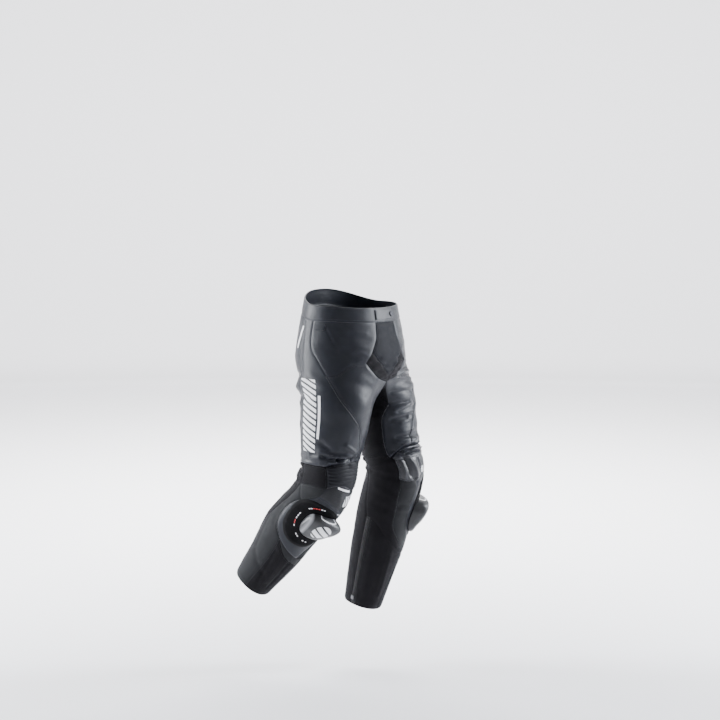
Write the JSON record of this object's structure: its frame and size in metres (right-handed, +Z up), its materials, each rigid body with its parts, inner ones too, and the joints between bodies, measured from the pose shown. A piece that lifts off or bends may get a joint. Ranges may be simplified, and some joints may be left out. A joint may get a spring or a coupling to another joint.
{
  "type": "leather motorcycle pants",
  "caption": "Worn-shape leather motorcycle pants with stretch panels, ribbed knees, hook pads and knee sliders, hollow and open at waist and hems.",
  "frame": {"origin": "middle of the waist opening, at the height of the waistband's upper edge at the sides", "axes": "+Z up, -Y the wearer's front, +X the wearer's left"},
  "size_m": [0.4016, 0.4648, 0.9386],
  "materials": {
    "leather_black": "semi-matte grained",
    "leather_grey": "matte grained",
    "leather_pale": "matte grained",
    "print_white": "smooth printed",
    "stretch_black": "stretch weave",
    "hook_black": "hook and loop pile",
    "puck_plastic": "satin moulded",
    "zip_tape": "woven tape",
    "zip_metal": "dark nickel"
  },
  "bodies": {
    "root": {"back_thigh_L": "leather_black", "back_thigh_R": "leather_black", "calf_back_L": "stretch_black", "calf_back_R": "stretch_black", "calf_inner_L": "stretch_black", "calf_inner_R": "stretch_black", "calf_zip_L": "zip_tape", "calf_zip_R": "zip_tape", "crotch_gusset": "stretch_black", "fly_panel": "leather_black", "front_thigh_L": "leather_black", "front_thigh_R": "leather_black", "groin_stretch_L": "stretch_black", "groin_stretch_R": "stretch_black", "hip_front_L": "leather_black", "hip_front_R": "leather_black", "hip_strip_L": "print_white", "hip_strip_R": "print_white", "hip_tab_L": "leather_black", "hip_tab_R": "leather_black", "hook_pad_L": "hook_black", "hook_pad_R": "hook_black", "inner_stretch_L": "stretch_black", "inner_stretch_R": "stretch_black", "knee_accordion_L": "leather_black", "knee_accordion_R": "leather_black", "knee_back_L": "stretch_black", "knee_back_R": "stretch_black", "knee_band_L": "leather_grey", "knee_band_R": "leather_grey", "knee_cup_L": "leather_black", "knee_cup_R": "leather_black", "knee_side_L": "stretch_black", "knee_side_R": "stretch_black", "lower_shin_L": "stretch_black", "lower_shin_R": "stretch_black", "outer_thigh_L": "leather_black", "outer_thigh_R": "leather_black", "seat_L": "leather_black", "seat_R": "leather_black", "shin_front_L": "leather_black", "shin_front_R": "leather_black", "shin_lower_strip_L": "leather_grey", "shin_lower_strip_R": "leather_grey", "shin_outer_L": "leather_grey", "shin_outer_R": "leather_grey", "shin_strip_L": "leather_grey", "shin_strip_R": "leather_grey", "shin_upper_L": "leather_pale", "shin_upper_R": "leather_pale", "slider_L": "puck_plastic", "slider_R": "puck_plastic", "under_seat_L": "leather_black", "under_seat_R": "leather_black", "waist_snap": "zip_metal", "waist_tab": "leather_black", "waistband": "leather_black", "zip_slider_L": "zip_metal", "zip_slider_R": "zip_metal"}
  },
  "joints": []
}
